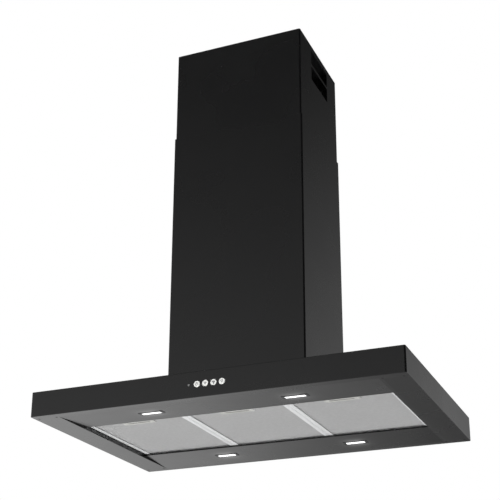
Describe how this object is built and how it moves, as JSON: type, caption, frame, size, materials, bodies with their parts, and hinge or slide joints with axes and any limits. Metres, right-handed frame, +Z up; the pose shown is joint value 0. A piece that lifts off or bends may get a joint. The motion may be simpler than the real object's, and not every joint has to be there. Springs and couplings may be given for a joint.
{
  "type": "island range hood",
  "caption": "Ceiling-hung range hood: flat black canopy with grease filters, lamps and push buttons under a telescopic rectangular chimney that holds a ducted fan.",
  "frame": {"origin": "centre of the ceiling bracket's four-hole bolt pattern, on the ceiling plane", "axes": "+Z up into the ceiling, +X to the right as seen from the controls, +Y from the controls towards the back"},
  "size_m": [0.898, 0.599, 1.005],
  "materials": {
    "black_paint": "satin",
    "zinc_steel": "brushed",
    "filter_aluminium": "satin",
    "dark_plastic": "matte",
    "grey_plastic": "matte",
    "button_white": "satin",
    "lamp_lens": "gloss",
    "board_green": "matte",
    "bolt_steel": "satin"
  },
  "bodies": {
    "ceiling_frame": {"ceiling_bracket": "black_paint", "upper_frame": "black_paint", "upper_cover": "black_paint", "bracket_bolts": "bolt_steel", "height_lock_bolts": "bolt_steel", "upper_cover_screws": "black_paint"},
    "hood": {"lower_frame": "black_paint", "frame_foot_bolts": "bolt_steel", "canopy_shell": "black_paint", "mounting_plate": "zinc_steel", "front_light_panel": "black_paint", "rear_light_panel": "black_paint", "flange_screws": "dark_plastic", "lamp_housing_front_left": "dark_plastic", "lamp_lens_front_left": "lamp_lens", "lamp_housing_front_right": "dark_plastic", "lamp_lens_front_right": "lamp_lens", "lamp_housing_rear_left": "dark_plastic", "lamp_lens_rear_left": "lamp_lens", "lamp_housing_rear_right": "dark_plastic", "lamp_lens_rear_right": "lamp_lens", "lamp_driver": "button_white", "indicator_light": "lamp_lens", "button_holder": "dark_plastic", "control_board": "board_green", "plenum_box": "zinc_steel", "scroll_left_half": "grey_plastic", "scroll_right_half": "grey_plastic", "scroll_screws": "bolt_steel", "motor": "zinc_steel", "motor_spider": "zinc_steel", "outlet_collar": "zinc_steel", "flap_pin": "bolt_steel", "electronics_box": "grey_plastic", "electronics_lid": "grey_plastic", "cable_gland": "dark_plastic", "run_capacitor": "button_white"},
    "lower_chimney": {"lower_cover": "black_paint"},
    "fan": {"impeller": "dark_plastic", "impeller_left_blades": "dark_plastic", "impeller_right_blades": "dark_plastic", "motor_shaft": "bolt_steel"},
    "front_flap": {"front_flap": "dark_plastic"},
    "rear_flap": {"rear_flap": "dark_plastic"},
    "filter_left": {"filter_frame_left": "filter_aluminium", "filter_mesh_left": "filter_aluminium"},
    "filter_middle": {"filter_frame_middle": "filter_aluminium", "filter_mesh_middle": "filter_aluminium"},
    "filter_right": {"filter_frame_right": "filter_aluminium", "filter_mesh_right": "filter_aluminium"},
    "latch_left": {"filter_latch_left": "filter_aluminium"},
    "latch_middle": {"filter_latch_middle": "filter_aluminium"},
    "latch_right": {"filter_latch_right": "filter_aluminium"},
    "power_button": {"power_button": "button_white"},
    "low_speed_button": {"low_speed_button": "button_white"},
    "high_speed_button": {"high_speed_button": "button_white"},
    "light_button": {"light_button": "button_white"}
  },
  "joints": [
    {"name": "height_adjust", "type": "slide", "parent": "ceiling_frame", "child": "hood", "axis": [0, 0, 1], "range_m": [-0.2, 0.145]},
    {"name": "cover_lift", "type": "slide", "parent": "hood", "child": "lower_chimney", "axis": [0, 0, 1], "range_m": [0, 0.08]},
    {"name": "fan_spin", "type": "hinge", "parent": "hood", "child": "fan", "pos_m": [0, -0.0217, -0.8336], "axis": [1, 0, 0], "continuous": true},
    {"name": "front_flap_hinge", "type": "hinge", "parent": "hood", "child": "front_flap", "pos_m": [0, 0.0353, -0.6745], "axis": [-1, 0, 0], "range_deg": [0, 75]},
    {"name": "rear_flap_hinge", "type": "hinge", "parent": "hood", "child": "rear_flap", "pos_m": [0, 0.0353, -0.6745], "axis": [1, 0, 0], "range_deg": [0, 75]},
    {"name": "filter_left_drop", "type": "hinge", "parent": "hood", "child": "filter_left", "pos_m": [-0.255, 0.152, -0.9945], "axis": [1, 0, 0], "range_deg": [0, 40]},
    {"name": "filter_middle_drop", "type": "hinge", "parent": "hood", "child": "filter_middle", "pos_m": [0, 0.152, -0.9945], "axis": [1, 0, 0], "range_deg": [0, 40]},
    {"name": "filter_right_drop", "type": "hinge", "parent": "hood", "child": "filter_right", "pos_m": [0.255, 0.152, -0.9945], "axis": [1, 0, 0], "range_deg": [0, 40]},
    {"name": "latch_left_slide", "type": "slide", "parent": "filter_left", "child": "latch_left", "axis": [0, 1, 0], "range_m": [0, 0.006], "stiffness_N_per_m": 400, "springref_m": -0.006},
    {"name": "latch_middle_slide", "type": "slide", "parent": "filter_middle", "child": "latch_middle", "axis": [0, 1, 0], "range_m": [0, 0.006], "stiffness_N_per_m": 400, "springref_m": -0.006},
    {"name": "latch_right_slide", "type": "slide", "parent": "filter_right", "child": "latch_right", "axis": [0, 1, 0], "range_m": [0, 0.006], "stiffness_N_per_m": 400, "springref_m": -0.006},
    {"name": "power_button_press", "type": "slide", "parent": "hood", "child": "power_button", "axis": [0, 1, 0], "range_m": [0, 0.0012], "stiffness_N_per_m": 600, "springref_m": -0.001},
    {"name": "low_speed_button_press", "type": "slide", "parent": "hood", "child": "low_speed_button", "axis": [0, 1, 0], "range_m": [0, 0.0012], "stiffness_N_per_m": 600, "springref_m": -0.001},
    {"name": "high_speed_button_press", "type": "slide", "parent": "hood", "child": "high_speed_button", "axis": [0, 1, 0], "range_m": [0, 0.0012], "stiffness_N_per_m": 600, "springref_m": -0.001},
    {"name": "light_button_press", "type": "slide", "parent": "hood", "child": "light_button", "axis": [0, 1, 0], "range_m": [0, 0.0012], "stiffness_N_per_m": 600, "springref_m": -0.001}
  ]
}
